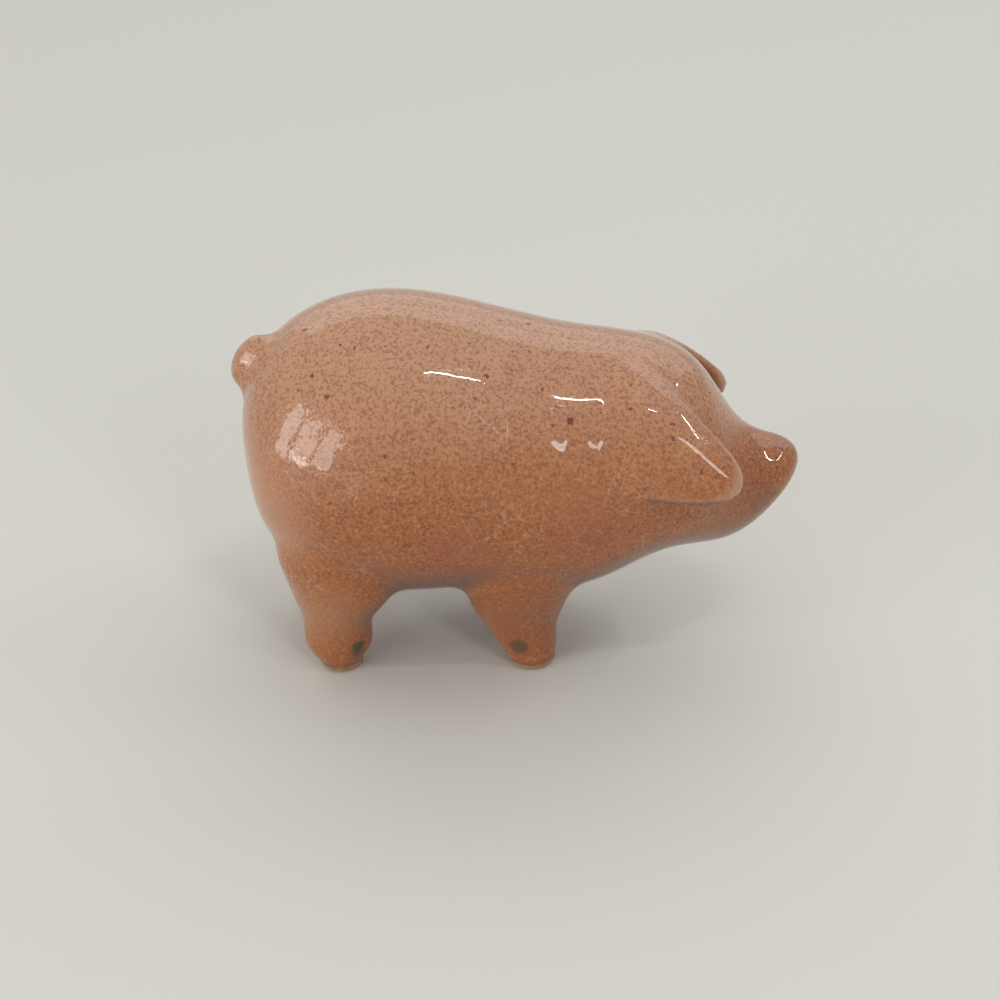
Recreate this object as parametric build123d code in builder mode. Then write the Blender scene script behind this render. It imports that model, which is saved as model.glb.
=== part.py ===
from build123d import *
from math import copysign, cos, pi, radians, sin
import os

# A small standing pig of glazed earthenware, put together by hand from soft clay.
# One drawn-out lump makes the trunk, the head and the snout. Two leaf ears, a tail
# nub and four pegs for legs are luted onto it, each cut to the curve it sits on.
# Frame: +X towards the snout, +Y to the pig's left, +Z up, and the origin on the
# ground under the middle of the whole length. Lengths are millimetres, and a share
# is a part of the size that its name or comment gives.

# Trunk and head
overall_length = 44.6
tail_overhang = 0.6
body_depth = 24.6
body_width = 22.1
belly_clearance = 5.9

# Snout
bridge_height = 18.4
chin_height = 9.8
nose_height = 14.4
nose_setback = 0.97
nose_depth = 5.8
nose_width = 6.8
nose_lean = 34.0
snout_root_width = 10.1

# Ears
ear_length = 11.2
ear_width = 9.8
ear_thickness = 1.5
ear_bend = 1.3
ear_droop = 30.0
ear_splay = 3.0
ear_tilt = 30.0
ear_left_advance = 0.9

# Tail nub
tail_length = 5.4
tail_thickness = 3.1

# Legs
leg_root_height = 14.0
rear_foot_length = 4.1
rear_foot_width = 3.6
rear_haunch_length = 10.6
rear_haunch_width = 8.6
rear_stance = 10.0
front_foot_length = 3.9
front_foot_width = 3.5
front_shoulder_length = 10.0
front_shoulder_width = 8.0
front_stance = 9.8
foot_bevel = 0.45

# The body runs from the rump to the nose, and its outline is drawn as three lines:
# the back, the belly and, seen from above, the flank. A point on the trunk is its
# place along the body as a share of body_length, and its height over the belly
# line or its distance from the middle plane as a share of body_depth or half_width.
rump_x = tail_overhang - overall_length / 2
body_length = overall_length / 2 - rump_x
half_width = body_width / 2
rump_share = 0.557
back_shares = [
    (0.016, 0.729),
    (0.066, 0.865),
    (0.146, 0.959),
    (0.272, 1.000),
    (0.421, 0.955),
    (0.592, 0.874),
    (0.718, 0.837),
    (0.805, 0.764),
    (0.869, 0.606),
]
belly_shares = [
    (0.011, 0.398),
    (0.031, 0.244),
    (0.088, 0.126),
    (0.169, 0.049),
    (0.283, 0.006),
    (0.400, 0.018),
    (0.519, 0.006),
    (0.615, 0.026),
    (0.695, 0.098),
    (0.775, 0.147),
]
flank_shares = [
    (0.018, 0.353),
    (0.055, 0.661),
    (0.125, 0.860),
    (0.215, 0.973),
    (0.306, 1.000),
    (0.443, 0.964),
    (0.574, 0.928),
    (0.661, 0.869),
    (0.748, 0.769),
    (0.826, 0.633),
]

# Places of the snout's root on the bridge, the chin and the flank along the body
bridge_share = 0.925
chin_share = 0.868
snout_root_share = 0.89

# Where the nose rounds off: how far from its tip and how far behind it, at the top and
# the chin as shares of nose_depth, and at the side of nose_width
nose_top_shares = (0.43, 0.11)
nose_chin_shares = (0.46, 0.02)
nose_side_shares = (0.42, 0.11)

# How hard each outline pulls out of its end tangents, against its own pace
end_pull_shares = (1.0, 1.0)

# How much fuller each section is below its middle than above it
belly_fullness_share = 0.05

# How the sections are spread: more of them near both ends, which close in a tiny flat
end_crowding_share = 0.09
end_flat_share = 0.008
section_points = 16
body_sections = 24

# The ear's root on the body: along it, out from the middle, up from the belly. Then
# its stations, root to tip: place along it, width, thickness and lift off the head,
# as shares of ear_length, ear_width, ear_thickness and ear_thickness again
ear_root_shares = (0.64, 0.660, 0.721)
ear_edge_share = 0.62
ear_station_shares = [
    (-0.16, 0.97, 1.00, -2.00),
    (0.02, 1.00, 1.00, -0.62),
    (0.20, 0.97, 1.00, 0.08),
    (0.38, 0.88, 0.98, 0.36),
    (0.56, 0.74, 0.92, 0.52),
    (0.73, 0.57, 0.84, 0.60),
    (0.88, 0.38, 0.74, 0.60),
    (0.97, 0.19, 0.58, 0.56),
]
ear_tip_lift_share = 0.40

# The tail's root on the body, its bend and its tip as shares of tail_length from the
# root, the ways it heads at its root and its tip, then the stations: place along the
# tail and thickness
tail_root_shares = (0.082, 0.800)
tail_bend_shares = (-0.41, 0.0)
tail_tip_shares = (-0.50, -0.70)
tail_root_heading_shares = (-1.0, 0.25)
tail_tip_heading_shares = (0.1, -1.0)
tail_station_shares = [
    (0.00, 1.20),
    (0.18, 1.10),
    (0.36, 1.00),
    (0.54, 0.87),
    (0.72, 0.68),
    (0.88, 0.44),
]

# Places of the feet along the body, and the legs' stations at even heights from the
# sole to the root inside the body: growth in length and in width from the foot's to
# the haunch's, and shift along the body as a share of the foot's length
rear_foot_share = 0.156
rear_station_shares = [
    (0.00, 0.00, 0.00),
    (0.14, 0.12, -0.05),
    (0.24, 0.24, -0.05),
    (0.32, 0.38, 0.01),
    (0.60, 0.61, 0.13),
    (0.83, 0.85, 0.21),
    (1.01, 0.98, 0.24),
    (1.05, 1.00, 0.25),
    (0.94, 0.90, 0.27),
]
front_foot_share = 0.513
front_station_shares = [
    (0.00, 0.00, 0.00),
    (0.12, 0.13, -0.08),
    (0.30, 0.25, -0.20),
    (0.52, 0.40, -0.27),
    (0.77, 0.62, -0.26),
    (0.94, 0.85, -0.20),
    (1.00, 0.98, -0.13),
    (0.98, 1.00, -0.08),
    (0.90, 0.90, -0.05),
]


def ring_face(plane, points):
    """Face inside a smooth closed curve that passes the points at an even pace.

    The even pace gives all rings of a loft the same knots, so its skin stays simple.
    """
    pace = [index / len(points) for index in range(len(points) + 1)]
    with BuildSketch(plane) as ring:
        with BuildLine():
            add(Edge.make_spline(points, periodic=True, parameters=pace))
        make_face()
    return ring.sketch


def oval_points(half_first, half_second, fullness_share=0):
    """Points round an oval, from the low end of its first direction, fuller there."""
    points = []
    for index in range(section_points):
        angle = pi + 2 * pi * index / section_points
        fullness = 1 - fullness_share * cos(angle)
        points.append((half_first * cos(angle), half_second * fullness * sin(angle)))
    return points


def leaf_points(half_wide, thick, bend, lift):
    """Points round a bent leaf of even thickness with rounded edges."""
    points = []
    for index in range(section_points):
        angle = pi + 2 * pi * index / section_points
        side = copysign(abs(sin(angle)) ** ear_edge_share, sin(angle))
        points.append((
            half_wide * cos(angle),
            lift + side * thick / 2 - bend * cos(angle) ** 2,
        ))
    return points


def trunk_points(shares):
    """Points of the back or belly line in the middle plane."""
    return [
        (rump_x + along * body_length, belly_clearance + high * body_depth)
        for along, high in shares
    ]


# Outline of the body: rump, trunk, bridge or chin, and round the leaning nose to its tip
lean = radians(nose_lean)
nose_up = Vector(sin(lean), cos(lean))
nose_ahead = Vector(cos(lean), -sin(lean))
nose_tip = Vector(overall_length / 2 - nose_setback, nose_height)
nose_top = nose_tip + nose_up * (nose_top_shares[0] * nose_depth)
nose_chin = nose_tip - nose_up * (nose_chin_shares[0] * nose_depth)
rump_end = (rump_x, belly_clearance + rump_share * body_depth)
with BuildLine() as back_line:
    Spline(
        rump_end,
        *trunk_points(back_shares),
        (rump_x + bridge_share * body_length, bridge_height),
        nose_top - nose_ahead * (nose_top_shares[1] * nose_depth),
        nose_tip,
        tangents=[(0, 1), -nose_up],
        tangent_scalars=end_pull_shares,
    )
with BuildLine() as belly_line:
    Spline(
        rump_end,
        *trunk_points(belly_shares),
        (rump_x + chin_share * body_length, chin_height),
        nose_chin - nose_ahead * (nose_chin_shares[1] * nose_depth),
        nose_tip,
        tangents=[(0, -1), nose_up],
        tangent_scalars=end_pull_shares,
    )
with BuildLine() as flank_line:
    Spline(
        (rump_x, 0),
        *[(rump_x + along * body_length, wide * half_width) for along, wide in flank_shares],
        (rump_x + snout_root_share * body_length, snout_root_width / 2),
        (nose_tip.X - nose_side_shares[1] * nose_width, nose_side_shares[0] * nose_width),
        (nose_tip.X, 0),
        tangents=[(0, 1), (0, -1)],
        tangent_scalars=end_pull_shares,
    )

# Body: rings hung between the back and the belly, lofted from the rump to the nose tip.
# They stand closer together towards both ends, where the outline turns most.
body_rings = []
for index in range(body_sections + 1):
    share = end_flat_share + (1 - 2 * end_flat_share) * index / body_sections
    along = share - end_crowding_share * sin(2 * pi * share)
    top = back_line.line @ along
    bottom = belly_line.line @ along
    middle = (top + bottom) / 2
    rise = top - bottom
    ring_plane = Plane(
        origin=(middle.X, 0, middle.Y),
        x_dir=(rise.X, 0, rise.Y),
        z_dir=(rise.Y, 0, -rise.X),
    )
    ring_half_width = (flank_line.line @ along).Y
    ring_points = oval_points(rise.length / 2, ring_half_width, belly_fullness_share)
    body_rings.append(ring_face(ring_plane, ring_points))

with BuildPart() as body:
    loft(sections=body_rings)

# Ears: a bent leaf whose root sinks into the head and whose tip stands free. The left
# one was set a little further forward by the maker's hand.
droop = radians(ear_droop)
splay = radians(ear_splay)
tilt = radians(ear_tilt)
ear_axis = Vector(cos(droop) * cos(splay), -cos(droop) * sin(splay), -sin(droop))
ear_rise = Vector(sin(droop) * cos(splay), -sin(droop) * sin(splay), cos(droop))
ear_inward = Vector(sin(splay), cos(splay), 0)
ear_across = ear_rise * cos(tilt) + ear_inward * sin(tilt)
ear_root = Vector(
    rump_x + ear_root_shares[0] * body_length,
    -ear_root_shares[1] * half_width,
    belly_clearance + ear_root_shares[2] * body_depth,
)
ear_rings = []
for along, wide, thick, lift in ear_station_shares:
    ear_plane = Plane(
        origin=ear_root + ear_axis * (along * ear_length),
        x_dir=ear_across,
        z_dir=ear_axis,
    )
    ear_rings.append(ring_face(ear_plane, leaf_points(
        wide * ear_width / 2,
        thick * ear_thickness,
        ear_bend * wide ** 2,
        lift * ear_thickness,
    )))
ear_outward = ear_axis.cross(ear_across)
ear_tip_lift = ear_tip_lift_share * ear_thickness
ear_tip = ear_root + ear_axis * ear_length + ear_outward * ear_tip_lift
ear_rings.append(Vertex(ear_tip.X, ear_tip.Y, ear_tip.Z))

with BuildPart() as ear_leaf:
    loft(sections=ear_rings)

with BuildPart() as ear_right:
    add(ear_leaf.part)
    add(body.part, mode=Mode.SUBTRACT)

ear_left_shift = ear_axis * ear_left_advance
with BuildPart() as ear_left:
    with Locations((ear_left_shift.X, -ear_left_shift.Y, ear_left_shift.Z)):
        add(mirror(ear_leaf.part, about=Plane.XZ, mode=Mode.PRIVATE))
    add(body.part, mode=Mode.SUBTRACT)

# Tail: a tapering nub that leaves the rump and turns down
tail_root = trunk_points([tail_root_shares])[0]
tail_bend = (
    tail_root[0] + tail_bend_shares[0] * tail_length,
    tail_root[1] + tail_bend_shares[1] * tail_length,
)
tail_tip = (
    tail_root[0] + tail_tip_shares[0] * tail_length,
    tail_root[1] + tail_tip_shares[1] * tail_length,
)
with BuildLine() as tail_line:
    Spline(
        tail_root,
        tail_bend,
        tail_tip,
        tangents=[tail_root_heading_shares, tail_tip_heading_shares],
    )

tail_rings = []
for along, wide in tail_station_shares:
    spot = tail_line.line @ along
    heading = tail_line.line % along
    tail_plane = Plane(
        origin=(spot.X, 0, spot.Y),
        x_dir=(0, 1, 0),
        z_dir=(heading.X, 0, heading.Y),
    )
    radius = wide * tail_thickness / 2
    tail_rings.append(ring_face(tail_plane, oval_points(radius, radius)))
tail_rings.append(Vertex(tail_tip[0], 0, tail_tip[1]))

with BuildPart() as tail:
    loft(sections=tail_rings)
    add(body.part, mode=Mode.SUBTRACT)


def leg_rings(stations, foot_x, foot_y, foot_size, root_size):
    """Level rings of one leg, from the sole up into the body."""
    rings = []
    for index, (long_growth, wide_growth, shift) in enumerate(stations):
        long = foot_size[0] + long_growth * (root_size[0] - foot_size[0])
        wide = foot_size[1] + wide_growth * (root_size[1] - foot_size[1])
        leg_x = foot_x + shift * foot_size[0]
        leg_z = leg_root_height * index / (len(stations) - 1)
        leg_plane = Plane(origin=(leg_x, foot_y, leg_z), x_dir=(1, 0, 0), z_dir=(0, 0, 1))
        rings.append(ring_face(leg_plane, oval_points(long / 2, wide / 2)))
    return rings


# Legs: two pegs, used on both sides, each cut on top to the curve of the body
with BuildPart() as rear_peg:
    loft(sections=leg_rings(
        rear_station_shares,
        rump_x + rear_foot_share * body_length,
        -rear_stance / 2,
        (rear_foot_length, rear_foot_width),
        (rear_haunch_length, rear_haunch_width),
    ))
    chamfer(rear_peg.edges().sort_by(Axis.Z)[0], length=foot_bevel)

with BuildPart() as front_peg:
    loft(sections=leg_rings(
        front_station_shares,
        rump_x + front_foot_share * body_length,
        -front_stance / 2,
        (front_foot_length, front_foot_width),
        (front_shoulder_length, front_shoulder_width),
    ))
    chamfer(front_peg.edges().sort_by(Axis.Z)[0], length=foot_bevel)

with BuildPart() as leg_rear_right:
    add(rear_peg.part)
    add(body.part, mode=Mode.SUBTRACT)

with BuildPart() as leg_rear_left:
    mirror(rear_peg.part, about=Plane.XZ)
    add(body.part, mode=Mode.SUBTRACT)

with BuildPart() as leg_front_right:
    add(front_peg.part)
    add(body.part, mode=Mode.SUBTRACT)

with BuildPart() as leg_front_left:
    mirror(front_peg.part, about=Plane.XZ)
    add(body.part, mode=Mode.SUBTRACT)

pieces = {
    "body": body,
    "ear_left": ear_left,
    "ear_right": ear_right,
    "tail": tail,
    "leg_front_left": leg_front_left,
    "leg_front_right": leg_front_right,
    "leg_rear_left": leg_rear_left,
    "leg_rear_right": leg_rear_right,
}
os.makedirs("parts", exist_ok=True)
for name, piece in pieces.items():
    piece.part.label = name
    export_step(piece.part, f"parts/{name}.step")
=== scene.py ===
"""A glazed earthenware pig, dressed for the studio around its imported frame.

The frame's eight pieces are the bare clay. Here they get what the kiln and the hand
give them: luted joints that are smoothed over, one flowing coat of glossy glaze,
speckled clay under it, fine crazing, and bare soles.
"""

import math
from functools import partial

import bmesh
import bpy
import numpy as np
from mathutils import Matrix, Vector, noise
from mathutils.bvhtree import BVHTree


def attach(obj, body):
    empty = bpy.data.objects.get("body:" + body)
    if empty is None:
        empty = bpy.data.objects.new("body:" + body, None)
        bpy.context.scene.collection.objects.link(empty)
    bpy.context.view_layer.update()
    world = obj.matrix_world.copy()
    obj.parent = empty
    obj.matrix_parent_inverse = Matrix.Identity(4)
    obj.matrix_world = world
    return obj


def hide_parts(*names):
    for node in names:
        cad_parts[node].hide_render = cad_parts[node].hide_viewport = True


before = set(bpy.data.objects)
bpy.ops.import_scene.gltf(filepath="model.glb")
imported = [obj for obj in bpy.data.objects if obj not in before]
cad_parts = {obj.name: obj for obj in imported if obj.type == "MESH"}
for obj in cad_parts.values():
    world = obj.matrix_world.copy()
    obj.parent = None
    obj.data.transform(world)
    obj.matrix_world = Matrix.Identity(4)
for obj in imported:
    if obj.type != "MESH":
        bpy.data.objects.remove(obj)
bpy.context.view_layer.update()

MM = 0.001

# Skin: how finely the clay is drawn over. A point moves half-way to its neighbours when
# it is smoothed, and a little more than that back out where the size has to stay.
SKIN_PITCH = 0.25 * MM
SKIN_ROUNDS = 12
HALF_WAY = 0.5
BACK_OUT = -0.52

# Limbs, and how far from its joint each one is worked smooth into the body
LIMBS = {
    "ear_left": 0.7 * MM,
    "ear_right": 0.7 * MM,
    "tail": 1.2 * MM,
    "leg_front_left": 1.8 * MM,
    "leg_front_right": 1.8 * MM,
    "leg_rear_left": 1.8 * MM,
    "leg_rear_right": 1.8 * MM,
}
JOINT_ROUNDS = 60
# A distance in metres that stands for out of reach of a limb
FAR = 1.0

# Hand: where fingers raised or pressed the clay: place, reach and height in millimetres
FINGER_MARKS = [
    ((2.4, -8.6, 22.4), 1.8, 0.2),
    ((5.2, -8.3, 22.2), 1.8, 0.22),
    ((-9.5, -10.6, 12.5), 5.6, -0.12),
    ((2.5, -10.4, 12.0), 4.8, -0.1),
]
# Unevenness all over: length and height in millimetres
WAVES = ((7.0, 0.05), (2.6, 0.008))
# Below this height in millimetres the handwork fades away, down to the flat soles
FOOT_HEIGHT = 2.5

# Fold along the right ear, in millimetres; the left ear sits further forward
EAR_FOLD = ((8.6, -6.4, 24.9), (12.39, -8.07, 22.29), (15.9, -8.9, 19.1))
LEFT_EAR_SHIFT = (0.82, 0.0, -0.5)
# Height of the right and the left fold, their reach, and the power of the share along
# them by which they rise
FOLD_HEIGHTS = (0.5, 0.18)
FOLD_REACH = 2.4
FOLD_RISE = 0.3

# Front edge of the right ear, which is worked down into the head
EAR_FRONT = ((9.4, -4.4, 25.5), (11.4, -5.2, 24.5), (13.4, -6.3, 22.6), (14.6, -7.2, 21.0))
FRONT_REACH = 1.4
FRONT_ROUNDS = 40

# Fields kept on the skin: how far a bend is smoothed, the widest seam in millimetres,
# and the value on the hidden faces that close a piece
BEND_ROUNDS = 8
SEAM_REACH = 2.0
HIDDEN = -1.0

# Marks in the glaze: place, size and softness of the rim in millimetres, strength, colour
GLAZE_MARKS = [
    # Reddish clouds on the flank and a brown one on the snout
    ((-5.0, -10.8, 13.8), 4.2, 4.0, 0.4, "#98462E"),
    ((5.2, -9.6, 15.4), 4.6, 4.4, 0.4, "#9A4A30"),
    ((19.0, -3.9, 14.6), 2.2, 2.0, 0.6, "#7C4A2C"),
    # Olive stains with brown rims on both right feet
    ((-13.55, -6.3, 2.1), 0.95, 0.5, 0.8, "#5E381E"),
    ((-13.27, -6.77, 2.85), 0.72, 0.3, 1.0, "#443A0C"),
    ((-0.2, -7.05, 2.8), 1.05, 0.5, 0.8, "#4C2C16"),
    ((-0.25, -7.12, 3.15), 0.75, 0.35, 1.0, "#463C0C"),
    # Red bead on the shoulder, and single specks of iron on the ear and the back
    ((3.97, -7.53, 23.71), 0.36, 0.14, 1.0, "#6E1600"),
    ((11.61, -7.28, 23.46), 0.24, 0.14, 0.8, "#8A3A1C"),
    ((11.9, -7.53, 23.09), 0.2, 0.12, 0.8, "#8A3A1C"),
    ((8.6, -5.33, 25.48), 0.22, 0.14, 0.8, "#8A3A1C"),
    ((14.5, -7.81, 21.61), 0.2, 0.12, 0.8, "#8A3A1C"),
    ((-3.01, -7.5, 25.69), 0.24, 0.14, 0.9, "#6E2A12"),
    ((-4.02, -7.99, 25.39), 0.2, 0.12, 0.9, "#6E2A12"),
    # Painted shade: a browner, darker front leg in the shade of the head and flank, and a darker
    # chin under the snout. The rear leg and rump are painted paler
    ((0.4, -8.0, 6.0), 6.5, 5.5, 0.45, "#8A4A22"),
    ((-15.5, -7.0, 7.0), 5.5, 5.0, 0.3, "#C08A60"),
    ((17.0, -3.5, 13.0), 6.0, 5.0, 0.45, "#7E4826"),
    ((-19.0, -5.0, 17.0), 8.0, 6.0, 0.75, "#C08A68"),
]

# Noises in the clay and the glaze: size in millimetres, detail and roughness
NOISES = {
    "cloud": (5.0, 3.0, 0.55),
    "blotch": (0.8, 3.0, 0.65),
    "grit": (0.26, 2.0, 0.7),
    "patch": (4.0, 1.0, 0.5),
    "swell": (1.1, 2.0, 0.5),
}
# Size and reach in millimetres of the shake that frays the rims of marks and cracks
FRAY_SIZE = 0.5
FRAY_REACH = (0.7, 0.7, 0.7)

# Specks of burnt iron: their cell in millimetres, the widest one's radius as a share of
# the cell, the share of cells without one, and how soft a rim is
SPECKS = ((1.05, 0.2, 0.3), (3.2, 0.085, 0.5))
SPECK_RIM = 0.03

# Crazing: size in millimetres of the fields between the cracks
CRAZE_SIZE = 2.5
# Where the glaze crawled a little on the rump and ripples most
CRAWLED_PLACE = (-16.0, -8.5, 21.5)
# Depth in millimetres of the grit in the clay, the ripples in the glaze and its cracks,
# and how strongly the grit shows
GRIT_DEPTH = 0.02
RIPPLE_DEPTH = 0.045
CRACK_DEPTH = 0.01
GRIT_STRENGTH = 0.6

# Lamps: direction from the pig, distance and size in metres, radiance, roll in degrees
LAMPS = {
    "back_box": ((0.05, 0.67, 0.74), 0.8, (1.3, 0.27), 0.86, 0),
    "back_box_foot": ((0.05, 0.89, 0.45), 0.8, (1.3, 0.3), 0.4, 0),
    "ceiling_tube": ((0.245, -0.335, 0.907), 0.5, (0.1, 0.008), 60, -27),
    "side_tube": ((0.7, 0.05, 0.7), 0.5, (0.18, 0.008), 40, 0),
    "window_left": ((-0.9, -0.42, 0.26), 0.5, (0.1, 0.28), 3.8, -14),
    "window_middle": ((-0.75, -0.62, 0.2), 0.5, (0.1, 0.28), 3.8, -14),
    "window_right": ((-0.6, -0.82, 0.14), 0.5, (0.1, 0.28), 3.8, -14),
    "window_foot": ((-0.7, -0.72, -0.02), 0.5, (0.3, 0.03), 5, -14),
    "front_box": ((0.47, -0.75, 0.46), 0.5, (0.09, 0.2), 7, 16),
}
LAMP_AIM = Vector((0, 0, 15 * MM))

# Room: its colour, the direction it is brightest in, the cosines to that direction between
# which its light rises, how dim and bright it is, and how bright it looks behind the pig
# and in its glaze
ROOM_COLOUR = "#F2F0EC"
ROOM_TOP = (0.05, 0.35, 0.93)
ROOM_RISE = (-0.1, 1.0)
ROOM_LIGHT = (0.08, 0.93)
BACKGROUND = 0.56

# Floor: side in metres, colour and roughness
FLOOR_SIDE = 1.2
FLOOR_COLOUR = "#D8D8D2"
FLOOR_ROUGHNESS = 0.9

# Camera: where it stands and how it looks down, in millimetres, degrees and pixels
IMAGE_SIDE_PX = 1000
FOCAL_PX = 1500.0
SENSOR_WIDTH_MM = 36.0
CAMERA_DISTANCE = 105.0
CAMERA_HEIGHT = 75.5
CAMERA_AIM_X = -1.6
CAMERA_AZIMUTH = 2.0
CAMERA_PITCH = math.degrees(math.atan(0.6))
CAMERA_ROLL = math.degrees(0.03)


def linear(hex_colour):
    """Linear RGBA of an sRGB hex colour."""
    channels = [int(hex_colour[place:place + 2], 16) / 255 for place in (1, 3, 5)]
    values = [c / 12.92 if c <= 0.04045 else ((c + 0.055) / 1.055) ** 2.4 for c in channels]
    return (*values, 1.0)


def add_node(tree, kind, settings=None, links=None):
    """Add a node. Settings and links go to its properties or its sockets by name or number."""
    node = tree.nodes.new(kind)
    settings = settings or {}
    for name, value in settings.items():
        if isinstance(name, str) and name in node.bl_rna.properties:
            setattr(node, name, value)
    for name, value in settings.items():
        if isinstance(name, int) or name not in node.bl_rna.properties:
            node.inputs[name].default_value = value
    for name, socket in (links or {}).items():
        tree.links.new(socket, node.inputs[name])
    return node


def draw_over():
    """One closed skin drawn over all pieces, as points, edges and four-sided faces."""
    bm = bmesh.new()
    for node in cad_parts.values():
        bm.from_mesh(node.data)
    bmesh.ops.remove_doubles(bm, verts=bm.verts, dist=1e-3 * MM)
    mesh = bpy.data.meshes.new("clay")
    bm.to_mesh(mesh)
    bm.free()
    clay = bpy.data.objects.new("clay", mesh)
    bpy.context.scene.collection.objects.link(clay)
    remesh = clay.modifiers.new("Remesh", "REMESH")
    remesh.mode = "VOXEL"
    remesh.voxel_size = SKIN_PITCH
    graph = bpy.context.evaluated_depsgraph_get()
    skin = bpy.data.meshes.new_from_object(clay.evaluated_get(graph))
    bpy.data.objects.remove(clay)
    points = np.empty(len(skin.vertices) * 3)
    skin.vertices.foreach_get("co", points)
    edges = np.empty(len(skin.edges) * 2, int)
    skin.edges.foreach_get("vertices", edges)
    faces = [tuple(polygon.vertices) for polygon in skin.polygons]
    return points.reshape(-1, 3), edges.reshape(-1, 2), faces


def relax(values, edges, amount, rounds):
    """Move the values at each point towards those of its neighbours, by its own amount."""
    count = len(values)
    ends = np.concatenate([edges[:, 0], edges[:, 1]])
    others = np.concatenate([edges[:, 1], edges[:, 0]])
    valence = np.bincount(ends, minlength=count)
    for _ in range(rounds):
        middle = np.stack([
            np.bincount(ends, weights=column[others], minlength=count) / valence
            for column in values.T
        ], axis=1)
        values = values + amount * (middle - values)
    return values


def smooth_steps(points, edges):
    """Take out the fine steps of the skin and keep its size."""
    for _ in range(SKIN_ROUNDS):
        points = relax(points, edges, HALF_WAY, 1)
        points = relax(points, edges, BACK_OUT, 1)
    return points


def fade(distance, reach):
    """1 at no distance, falling smoothly to 0 at the reach."""
    share = np.clip(1 - distance / reach, 0, 1)
    return share * share * (3 - 2 * share)


def distance_to_piece(name, points, chosen, default):
    """Distance from each chosen point to a frame piece, and the default elsewhere."""
    bm = bmesh.new()
    bm.from_mesh(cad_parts[name].data)
    tree = BVHTree.FromBMesh(bm)
    bm.free()
    distance = np.full(len(points), default)
    for index in np.flatnonzero(chosen):
        distance[index] = tree.find_nearest(Vector(points[index]))[3]
    return distance


def piece_distances(points):
    """Distance from each point to the body and to every limb, by name.

    A limb is measured only in its surroundings, and the body only near a limb.
    """
    distances = {}
    near_limb = np.zeros(len(points), bool)
    for limb, reach in LIMBS.items():
        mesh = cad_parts[limb].data
        corners = np.empty(len(mesh.vertices) * 3)
        mesh.vertices.foreach_get("co", corners)
        corners = corners.reshape(-1, 3)
        above = points > corners.min(0) - 2 * reach
        below = points < corners.max(0) + 2 * reach
        near = np.all(above & below, axis=1)
        distances[limb] = distance_to_piece(limb, points, near, FAR)
        near_limb |= near
    return {"body": distance_to_piece("body", points, near_limb, 0.0), **distances}


def joint_closeness(distances):
    """1 right at a luted joint, falling to 0 where the hand stopped working it."""
    closeness = np.zeros(len(distances["body"]))
    for limb, reach in LIMBS.items():
        away = np.maximum(distances[limb], distances["body"])
        closeness = np.maximum(closeness, fade(away, reach))
    return closeness


def outward(points, faces):
    """Smooth normal of the whole skin at each point, so that no seam shows."""
    mesh = bpy.data.meshes.new("skin")
    mesh.from_pydata(points.tolist(), [], faces)
    normals = np.empty(len(points) * 3)
    mesh.vertex_normals.foreach_get("vector", normals)
    bpy.data.meshes.remove(mesh)
    return normals.reshape(-1, 3)


def away_from_line(points, line):
    """Distance in millimetres from each point to a line, and the share along it."""
    spots = points / MM
    away = np.full(len(spots), np.inf)
    share = np.zeros(len(spots))
    for index, (start, end) in enumerate(zip(line, line[1:])):
        start, run = np.array(start), np.subtract(end, start)
        along = np.clip((spots - start) @ run / (run @ run), 0, 1)
        distance = np.linalg.norm(spots - start - along[:, None] * run, axis=1)
        share = np.where(distance < away, (index + along) / (len(line) - 1), share)
        away = np.minimum(away, distance)
    return away, share


def both_ears(line):
    """A line of the right ear and the same on the left ear."""
    shift_x, _, shift_z = LEFT_EAR_SHIFT
    left_line = [(x + shift_x, -y, z + shift_z) for x, y, z in line]
    return line, left_line


def handwork(points):
    """How far the hand pushed each point in or out, in millimetres."""
    spots = points / MM
    push = np.zeros(len(spots))
    for length, height in WAVES:
        push += [height * noise.noise(Vector(spot) / length) for spot in spots]
    for place, reach, height in FINGER_MARKS:
        push += height * fade(np.linalg.norm(spots - place, axis=1), reach)
    for fold, height in zip(both_ears(EAR_FOLD), FOLD_HEIGHTS):
        away, share = away_from_line(points, fold)
        push += height * share**FOLD_RISE * fade(away, FOLD_REACH)
    return push * np.clip(spots[:, 2] / FOOT_HEIGHT, 0, 1)


def bend(points, edges, normals):
    """Hollow (above 0) or round (below 0) at each point, smoothed over its surroundings."""
    middle = relax(points, edges, 1.0, 1)
    hollow = ((middle - points) * normals).sum(axis=1, keepdims=True)
    return relax(hollow, edges, HALF_WAY, BEND_ROUNDS)[:, 0] / SKIN_PITCH


def ear_seam(distances):
    """Millimetres from the line where an ear meets the body, above 0 on the ear."""
    to_ear = np.minimum(distances["ear_left"], distances["ear_right"])
    return np.clip((distances["body"] - to_ear) / MM, -SEAM_REACH, SEAM_REACH)


def face_neighbours(faces):
    """Faces that share an edge with each face."""
    by_edge = {}
    for index, face in enumerate(faces):
        for here, there in zip(face, face[1:] + face[:1]):
            by_edge.setdefault((min(here, there), max(here, there)), []).append(index)
    neighbours = [[] for _ in faces]
    for pair in by_edge.values():
        if len(pair) == 2:
            neighbours[pair[0]].append(pair[1])
            neighbours[pair[1]].append(pair[0])
    return neighbours


def stray_faces(owners, neighbours):
    """True for each face that isn't in the largest patch of its owner."""
    patch_of = np.full(len(owners), -1)
    sizes = []
    largest = {}
    for start, owner in enumerate(owners):
        if patch_of[start] >= 0:
            continue
        patch = len(sizes)
        patch_of[start] = patch
        sizes.append(0)
        waiting = [start]
        while waiting:
            face = waiting.pop()
            sizes[patch] += 1
            for other in neighbours[face]:
                if patch_of[other] < 0 and owners[other] == owner:
                    patch_of[other] = patch
                    waiting.append(other)
        if owner not in largest or sizes[patch] > sizes[largest[owner]]:
            largest[owner] = patch
    return ~np.isin(patch_of, list(largest.values()))


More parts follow.
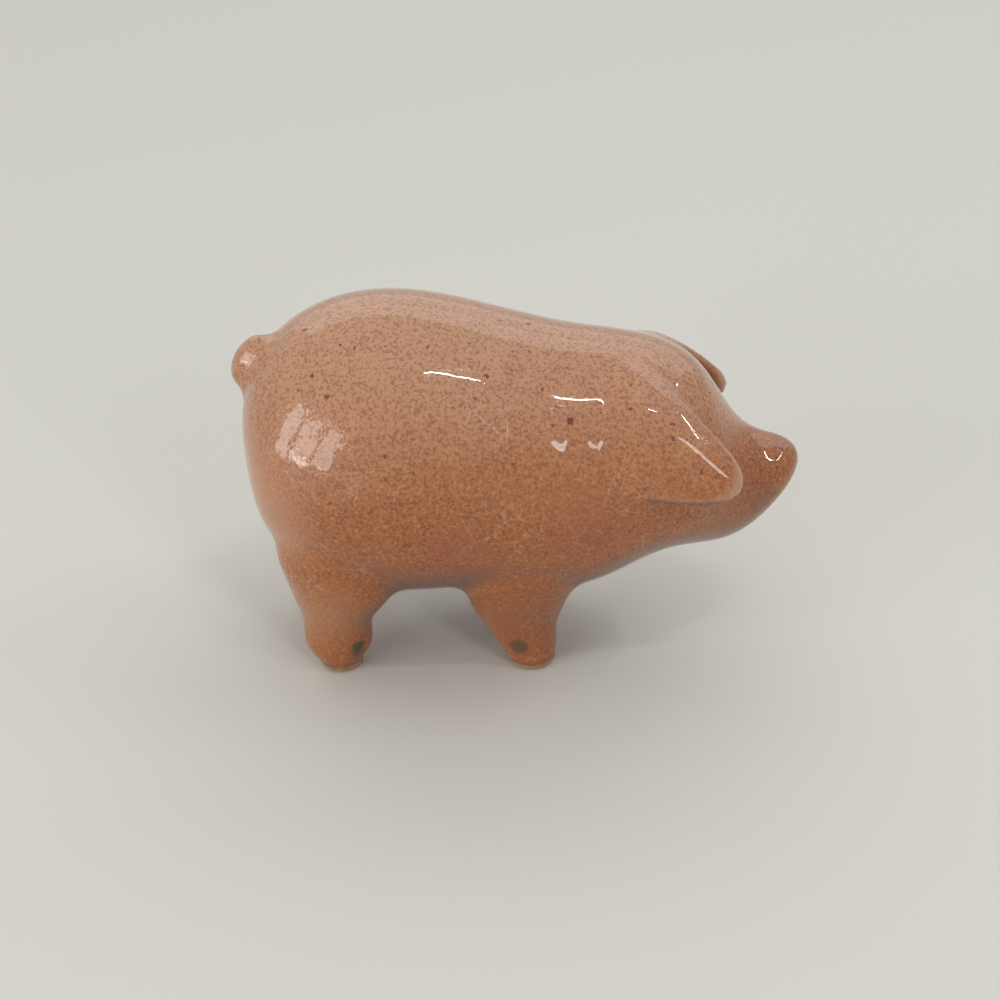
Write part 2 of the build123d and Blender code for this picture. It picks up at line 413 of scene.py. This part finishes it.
def face_owners(faces, distances):
    """Number of the piece that each face belongs to: the nearest, in one patch a piece."""
    table = np.stack(list(distances.values()), axis=1)
    owners = np.array([int(np.argmin(table[list(face)].sum(axis=0))) for face in faces])
    neighbours = face_neighbours(faces)
    stray = stray_faces(owners, neighbours)
    while stray.any():
        for index in np.flatnonzero(stray):
            settled = [owners[other] for other in neighbours[index] if not stray[other]]
            if settled:
                owners[index] = max(set(settled), key=settled.count)
                stray[index] = False
    return owners


def boundary_loops(faces):
    """Closed rows of points round the faces of one piece."""
    steps = {}
    for face in faces:
        for here, there in zip(face, face[1:] + face[:1]):
            if (there, here) in steps:
                del steps[(there, here)]
            else:
                steps[(here, there)] = True
    following = {}
    for here, there in steps:
        following.setdefault(here, []).append(there)
    loops = []
    while following:
        start = here = next(iter(following))
        loop = [start]
        while True:
            there = following[here].pop()
            if not following[here]:
                del following[here]
            if there == start:
                break
            loop.append(there)
            here = there
        loops.append(loop)
    return loops


def closed_piece(name, faces, points, normals, fields):
    """One piece of the skin as an object, closed where it sits on its neighbour."""
    used = sorted({point for face in faces for point in face})
    place = {point: index for index, point in enumerate(used)}
    corners = [tuple(points[point]) for point in used]
    sides = [tuple(place[point] for point in face) for face in faces]
    for loop in boundary_loops(faces):
        hub = len(corners)
        corners.append(tuple(points[loop].mean(axis=0)))
        for here, there in zip(loop, loop[1:] + loop[:1]):
            sides.append((place[there], place[here], hub))
    mesh = bpy.data.meshes.new(name)
    mesh.from_pydata(corners, [], sides)
    mesh.update()
    mesh.polygons.foreach_set("use_smooth", [True] * len(sides))
    corner_normals = [tuple(normals[point]) for face in faces for point in face]
    for polygon in mesh.polygons[len(faces):]:
        corner_normals += [tuple(polygon.normal)] * len(polygon.vertices)
    mesh.normals_split_custom_set(corner_normals)
    hidden = [HIDDEN] * (len(corners) - len(used))
    for field, values in fields.items():
        attribute = mesh.attributes.new(field, "FLOAT", "POINT")
        attribute.data.foreach_set("value", [*values[used], *hidden])
    piece = bpy.data.objects.new(name, mesh)
    bpy.context.scene.collection.objects.link(piece)
    return piece


def pig_places(node):
    """Place on the pig in millimetres, and the same shaken a little so that rims fray."""
    metres = node("ShaderNodeTexCoord").outputs["Object"]
    place = node(
        "ShaderNodeVectorMath", {"operation": "SCALE", "Scale": 1 / MM}, {0: metres}
    ).outputs[0]
    shake = node(
        "ShaderNodeTexNoise", {"Scale": 1 / FRAY_SIZE, "Detail": 3.0}, {"Vector": place}
    ).outputs["Color"]
    centred = node(
        "ShaderNodeVectorMath", {"operation": "SUBTRACT", 1: (0.5, 0.5, 0.5)}, {0: shake}
    ).outputs[0]
    frayed = node(
        "ShaderNodeVectorMath",
        {"operation": "MULTIPLY_ADD", 1: FRAY_REACH},
        {0: centred, 2: place},
    ).outputs[0]
    return place, frayed


def glaze_fields(node, place, frayed):
    """Sockets that say where each layer of the clay and the glaze shows, by name."""
    # What is measured at each place on the pig
    normal = node("ShaderNodeNewGeometry").outputs["Normal"]
    along = node("ShaderNodeSeparateXYZ", links={0: place})
    fields = {
        "forward": along.outputs["X"],
        "height": along.outputs["Z"],
        "frayed_height": node("ShaderNodeSeparateXYZ", links={0: frayed}).outputs["Z"],
        "facing_up": node("ShaderNodeSeparateXYZ", links={0: normal}).outputs["Z"],
        "bend": node("ShaderNodeAttribute", {"attribute_name": "bend"}).outputs["Fac"],
        "ear_seam": node("ShaderNodeAttribute", {"attribute_name": "ear_seam"}).outputs["Fac"],
        "to_rump": node(
            "ShaderNodeVectorMath", {"operation": "DISTANCE", 1: CRAWLED_PLACE}, {0: place}
        ).outputs["Value"],
        "to_crack": node(
            "ShaderNodeTexVoronoi",
            {"feature": "DISTANCE_TO_EDGE", "Scale": 1 / CRAZE_SIZE},
            {"Vector": frayed},
        ).outputs["Distance"],
    }
    for name, (size, detail, roughness) in NOISES.items():
        fields[name] = node(
            "ShaderNodeTexNoise",
            {"Scale": 1 / size, "Detail": detail, "Roughness": roughness},
            {"Vector": place},
        ).outputs["Fac"]

    # Each ramp: what it is measured by, from where to where, and its share at both ends
    ramps = (
        # Iron lies thick low on the flank, less on the legs, and in clouds; the darkening low
        # on the flank is partly painted shade
        ("low", "height", (29.0, 14.0), (0.0, 1.0), "SMOOTHSTEP"),
        ("leg", "height", (6.0, 12.0), (0.45, 1.0), "SMOOTHSTEP"),
        ("clouded", "cloud", (0.3, 0.7), (0.3, 1.0), "LINEAR"),
        # Grains of 0.26 mm, dark, soft or pale, that lie together in blotches of 0.8 mm
        ("grain", "grit", (0.49, 0.62), (0.0, 1.0), "SMOOTHSTEP"),
        ("soft_grain", "grit", (0.49, 0.62), (0.0, 0.6), "SMOOTHSTEP"),
        ("flecks", "grit", (0.44, 0.3), (0.0, 0.5), "SMOOTHSTEP"),
        ("blotches", "blotch", (0.5, 0.66), (0.0, 0.3), "SMOOTHSTEP"),
        # Cracks in patches, drawn 0.1 mm wide so that they show; real ones are finer
        ("crack", "to_crack", (0.022, 0.005), (0.0, 1.0), "LINEAR"),
        ("crazed", "patch", (0.44, 0.58), (0.0, 0.32), "LINEAR"),
        # Glaze pools in hollows and is thin over edges. The hollows also get painted shade,
        # and faces turned down, under the belly, are painted dark as shade
        ("pooled_and_shaded", "bend", (0.03, 0.12), (0.0, 0.5), "LINEAR"),
        ("thin", "bend", (-0.03, -0.1), (0.0, 0.6), "LINEAR"),
        ("under", "facing_up", (-0.35, -0.7), (0.0, 0.85), "LINEAR"),
        # It burns brown at its edge above the bare sole
        ("burnt", "frayed_height", (1.3, 0.8), (0.0, 0.6), "LINEAR"),
        ("sole", "frayed_height", (0.75, 0.55), (0.0, 1.0), "LINEAR"),
        # Painted shade: a dark line in the groove round the free end of an ear
        ("ear_side", "ear_seam", (0.12, 0.03), (0.0, 0.5), "LINEAR"),
        ("head_side", "ear_seam", (-0.16, -0.06), (0.0, 1.0), "LINEAR"),
        ("free_end", "forward", (10.0, 12.0), (0.0, 1.0), "LINEAR"),
        # The clay is dull, and the glaze ripples most where it crawled
        ("dullness", "grit", (0.0, 1.0), (0.45, 0.65), "LINEAR"),
        ("crawled", "to_rump", (6.5, 3.5), (0.2, 1.0), "LINEAR"),
    )
    for name, measure, (start, end), (first, last), kind in ramps:
        fields[name] = node(
            "ShaderNodeMapRange",
            {
                "interpolation_type": kind,
                "From Min": start,
                "From Max": end,
                "To Min": first,
                "To Max": last,
            },
            {"Value": fields[measure]},
        ).outputs[0]

    products = (
        ("warm", "low", "clouded"),
        ("iron", "warm", "leg"),
        ("iron_grain", "grain", "iron"),
        ("cracks", "crack", "crazed"),
        ("seam", "ear_side", "head_side"),
        ("groove_shade", "seam", "free_end"),
        ("ripples", "swell", "crawled"),
    )
    for name, one, other in products:
        fields[name] = node(
            "ShaderNodeMath", {"operation": "MULTIPLY"}, {0: fields[one], 1: fields[other]}
        ).outputs[0]
    return fields


def iron_specks(node, frayed):
    """Sockets that are 1 on the burnt iron specks, one for each size."""
    specks = []
    for cell, widest, plain in SPECKS:
        cells = node("ShaderNodeTexVoronoi", {"Scale": 1 / cell}, {"Vector": frayed})
        chance = node("ShaderNodeSeparateColor", links={0: cells.outputs["Color"]}).outputs["Red"]
        radius = node(
            "ShaderNodeMapRange",
            {"From Min": plain, "From Max": 1.0, "To Max": widest},
            {"Value": chance},
        ).outputs[0]
        inside = node(
            "ShaderNodeMath", {"operation": "SUBTRACT"}, {0: radius, 1: cells.outputs["Distance"]}
        ).outputs[0]
        speck = node("ShaderNodeMapRange", {"From Max": SPECK_RIM}, {"Value": inside}).outputs[0]
        specks.append(speck)
    return specks


def glaze_marks(node, frayed):
    """Colour and share of each mark in the glaze."""
    marks = []
    for centre, radius, rim, strength, colour in GLAZE_MARKS:
        away = node(
            "ShaderNodeVectorMath", {"operation": "DISTANCE", 1: centre}, {0: frayed}
        ).outputs["Value"]
        share = node(
            "ShaderNodeMapRange",
            {
                "interpolation_type": "SMOOTHSTEP",
                "From Min": radius,
                "From Max": radius - rim,
                "To Max": strength,
            },
            {"Value": away},
        ).outputs[0]
        marks.append((colour, share))
    return marks


def glazed_earthenware():
    """Glazed earthenware: pink clay with iron in it, dipped in a clear glaze and fired glossy.

    The eye sees a wet, mirror-like coat over dull clay. Iron burnt out as brown specks, the
    glaze is thin and pale on the edges and pools brown in the hollows, and it is crazed.
    Shade is painted into the colour: in the hollows, under the belly, in the ear grooves,
    low on the flank, on the front leg and under the chin.
    """
    material = bpy.data.materials.new("glazed_earthenware")
    material.use_nodes = True
    material.node_tree.nodes.clear()
    node = partial(add_node, material.node_tree)

    place, frayed = pig_places(node)
    fields = glaze_fields(node, place, frayed)
    fine_specks, wide_specks = iron_specks(node, frayed)

    # Clay from the pale back down to the browner, darker belly, partly painted shade, with each
    # layer over the last
    clay = node(
        "ShaderNodeMix",
        {"data_type": "RGBA", 6: linear("#C2906E"), 7: linear("#A45B18")},
        {0: fields["low"]},
    ).outputs[2]
    layers = [
        ("#A65A16", fields["warm"]),
        ("#96542C", fields["blotches"]),
        ("#8E4E28", fields["soft_grain"]),
        ("#CC8E5A", fields["flecks"]),
        ("#74390E", fields["iron_grain"]),
        ("#7A3A0C", fine_specks),
        ("#8A4020", wide_specks),
        ("#D2A487", fields["cracks"]),
        # Pooled glaze with painted shade in hollows, painted shade in the ear groove and under
        # the belly
        ("#7A3E1E", fields["pooled_and_shaded"]),
        ("#C9997C", fields["thin"]),
        ("#7A4A2C", fields["groove_shade"]),
        ("#5A2E18", fields["under"]),
        *glaze_marks(node, frayed),
        ("#70401F", fields["burnt"]),
        ("#B48A66", fields["sole"]),
    ]
    for colour, share in layers:
        clay = node(
            "ShaderNodeMix", {"data_type": "RGBA", 7: linear(colour)}, {0: share, 6: clay}
        ).outputs[2]

    # The clay is a little grainy; the coat ripples softly, and its cracks are sunk
    clay_normal = node(
        "ShaderNodeBump",
        {"Distance": GRIT_DEPTH * MM, "Strength": GRIT_STRENGTH},
        {"Height": fields["grit"]},
    ).outputs[0]
    ripple_normal = node(
        "ShaderNodeBump", {"Distance": RIPPLE_DEPTH * MM}, {"Height": fields["ripples"]}
    ).outputs[0]
    glaze_normal = node(
        "ShaderNodeBump",
        {"Distance": CRACK_DEPTH * MM, "invert": True},
        {"Height": fields["cracks"], "Normal": ripple_normal},
    ).outputs[0]
    glazed = node(
        "ShaderNodeMath", {"operation": "SUBTRACT", 0: 1.0}, {1: fields["sole"]}
    ).outputs[0]
    glaze = node(
        "ShaderNodeBsdfPrincipled",
        {"IOR": 1.5, "Coat Roughness": 0.03, "Coat IOR": 1.5},
        {
            "Base Color": clay,
            "Roughness": fields["dullness"],
            "Normal": clay_normal,
            "Coat Weight": glazed,
            "Coat Normal": glaze_normal,
        },
    )
    node("ShaderNodeOutputMaterial", links={"Surface": glaze.outputs["BSDF"]})
    return material


def glazed_pig():
    """The eight pieces in their one coat of glaze, each in place of its own node."""
    points, edges, faces = draw_over()
    points = smooth_steps(points, edges)
    distances = piece_distances(points)

    # The hand works the joints and the front edges of the ears smooth, and dents the clay
    worked = joint_closeness(distances)[:, None]
    points = relax(points, edges, HALF_WAY * worked, JOINT_ROUNDS)
    for front in both_ears(EAR_FRONT):
        worked = fade(away_from_line(points, front)[0], FRONT_REACH)[:, None]
        points = relax(points, edges, HALF_WAY * worked, FRONT_ROUNDS)
    points += outward(points, faces) * (handwork(points) * MM)[:, None]
    points[:, 2] = np.maximum(points[:, 2], 0)

    # One coat of glaze covers it all, and is split back into the pieces it covers
    normals = outward(points, faces)
    fields = {"bend": bend(points, edges, normals), "ear_seam": ear_seam(distances)}
    owners = face_owners(faces, distances)
    material = glazed_earthenware()
    for number, name in enumerate(distances):
        owned = [faces[index] for index in np.flatnonzero(owners == number)]
        piece = closed_piece(f"{name}_glazed", owned, points, normals, fields)
        piece.data.materials.append(material)
        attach(piece, "root")
        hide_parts(name)


def studio_floor():
    """Plain pale floor of matt paper: it takes the pig's soft shadow and shows no shine."""
    material = bpy.data.materials.new("pale_floor")
    material.use_nodes = True
    material.node_tree.nodes.clear()
    node = partial(add_node, material.node_tree)
    paper = node(
        "ShaderNodeBsdfPrincipled",
        {"Base Color": linear(FLOOR_COLOUR), "Roughness": FLOOR_ROUGHNESS},
    )
    node("ShaderNodeOutputMaterial", links={"Surface": paper.outputs["BSDF"]})
    half = FLOOR_SIDE / 2
    corners = [(-half, -half, 0), (half, -half, 0), (half, half, 0), (-half, half, 0)]
    mesh = bpy.data.meshes.new("floor")
    mesh.from_pydata(corners, [], [(0, 1, 2, 3)])
    mesh.materials.append(material)
    floor = bpy.data.objects.new("floor", mesh)
    bpy.context.scene.collection.objects.link(floor)


def area_lamp(name, direction, distance, size, radiance, roll):
    """Soft lamp that looks at the pig from a direction, as bright as its radiance."""
    width, height = size
    data = bpy.data.lights.new(name, "AREA")
    data.shape = "RECTANGLE"
    data.size, data.size_y = size
    data.energy = radiance * math.pi * width * height
    lamp = bpy.data.objects.new(name, data)
    towards = Vector(direction).normalized()
    facing = towards.to_track_quat("Z", "Y").to_matrix()
    lamp.location = LAMP_AIM + towards * distance
    lamp.rotation_euler = (facing @ Matrix.Rotation(math.radians(roll), 3, "Z")).to_euler()
    bpy.context.scene.collection.objects.link(lamp)


def pale_room():
    """Pale room, bright above. Behind the pig and in its glaze it looks even."""
    world = bpy.data.worlds.new("studio")
    bpy.context.scene.world = world
    world.use_nodes = True
    world.node_tree.nodes.clear()
    node = partial(add_node, world.node_tree)
    towards = node("ShaderNodeTexCoord").outputs["Generated"]
    up = node(
        "ShaderNodeVectorMath", {"operation": "DOT_PRODUCT", 1: ROOM_TOP}, {0: towards}
    ).outputs["Value"]
    light = node(
        "ShaderNodeMapRange",
        {
            "interpolation_type": "SMOOTHSTEP",
            "From Min": ROOM_RISE[0],
            "From Max": ROOM_RISE[1],
            "To Min": ROOM_LIGHT[0],
            "To Max": ROOM_LIGHT[1],
        },
        {"Value": up},
    ).outputs[0]
    rays = node("ShaderNodeLightPath")
    seen = rays.outputs["Is Camera Ray"]
    for kind in ("Is Glossy Ray", "Is Transmission Ray"):
        seen = node(
            "ShaderNodeMath", {"operation": "MAXIMUM"}, {0: seen, 1: rays.outputs[kind]}
        ).outputs[0]
    strength = node("ShaderNodeMix", {3: BACKGROUND}, {0: seen, 2: light}).outputs[0]
    room = node("ShaderNodeBackground", {"Color": linear(ROOM_COLOUR)}, {"Strength": strength})
    node("ShaderNodeOutputWorld", links={"Surface": room.outputs["Background"]})


def photo_camera():
    """Camera where the photograph was taken from."""
    data = bpy.data.cameras.new("camera")
    data.sensor_fit = "HORIZONTAL"
    data.sensor_width = SENSOR_WIDTH_MM
    data.lens = FOCAL_PX / IMAGE_SIDE_PX * SENSOR_WIDTH_MM
    data.clip_start = 1 * MM
    azimuth = math.radians(CAMERA_AZIMUTH)
    turn = (
        Matrix.Rotation(azimuth, 4, "Z")
        @ Matrix.Rotation(math.radians(90 - CAMERA_PITCH), 4, "X")
        @ Matrix.Rotation(-math.radians(CAMERA_ROLL), 4, "Z")
    )
    stand = Vector((
        CAMERA_AIM_X + CAMERA_DISTANCE * math.sin(azimuth),
        -CAMERA_DISTANCE * math.cos(azimuth),
        CAMERA_HEIGHT,
    )) * MM
    camera = bpy.data.objects.new("camera", data)
    camera.matrix_world = Matrix.Translation(stand) @ turn
    bpy.context.scene.collection.objects.link(camera)
    bpy.context.scene.camera = camera


glazed_pig()
studio_floor()
for name, lamp in LAMPS.items():
    area_lamp(name, *lamp)
pale_room()
photo_camera()
bpy.context.scene.view_settings.view_transform = "Standard"
